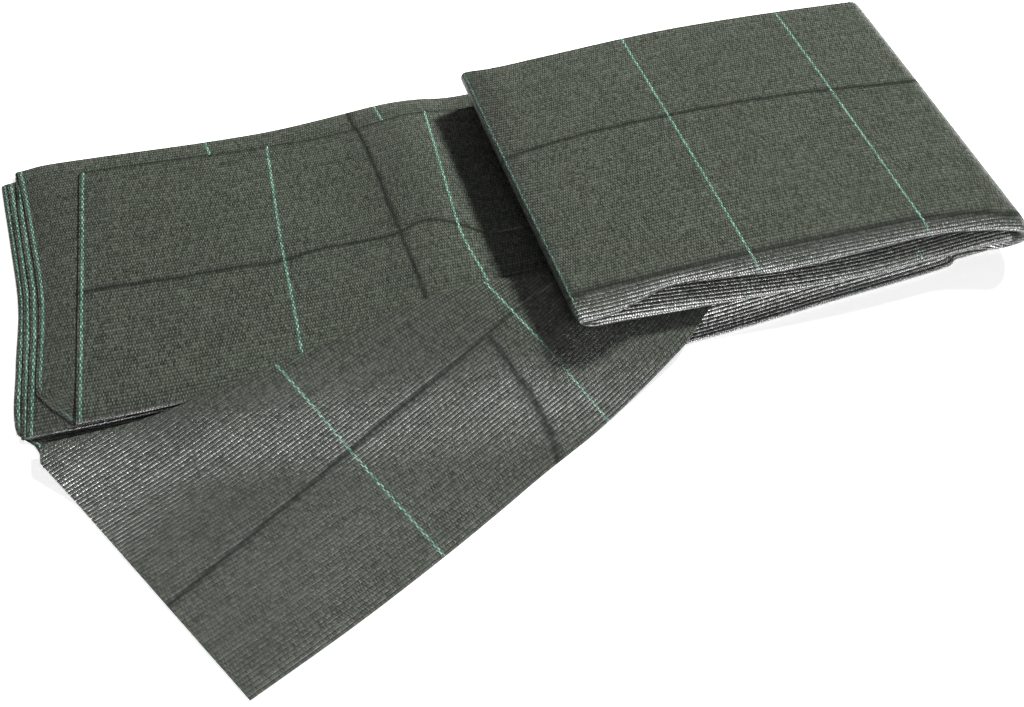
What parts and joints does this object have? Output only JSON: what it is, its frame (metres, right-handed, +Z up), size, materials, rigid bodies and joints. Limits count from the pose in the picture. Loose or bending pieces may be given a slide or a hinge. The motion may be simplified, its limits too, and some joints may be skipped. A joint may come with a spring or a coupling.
{
  "type": "folded woven shade cloth",
  "caption": "Dark green-grey woven tape cloth folded back and forth into a flat strip, its right end turned over into a bundle and its front layer pulled out as a slanting flap.",
  "frame": {"origin": "middle of the footprint, on the floor the cloth lies on", "axes": "+X along the folded strip towards the turned-over bundle, +Y towards the back folds, away from the flap, +Z up"},
  "size_m": [0.7892, 0.4738, 0.0371],
  "materials": {
    "woven_tape_cloth": "low sheen, ribbed plain weave of flat tapes with green tracer threads"
  },
  "bodies": {
    "root": {"folded_cloth": "woven_tape_cloth"}
  },
  "joints": []
}
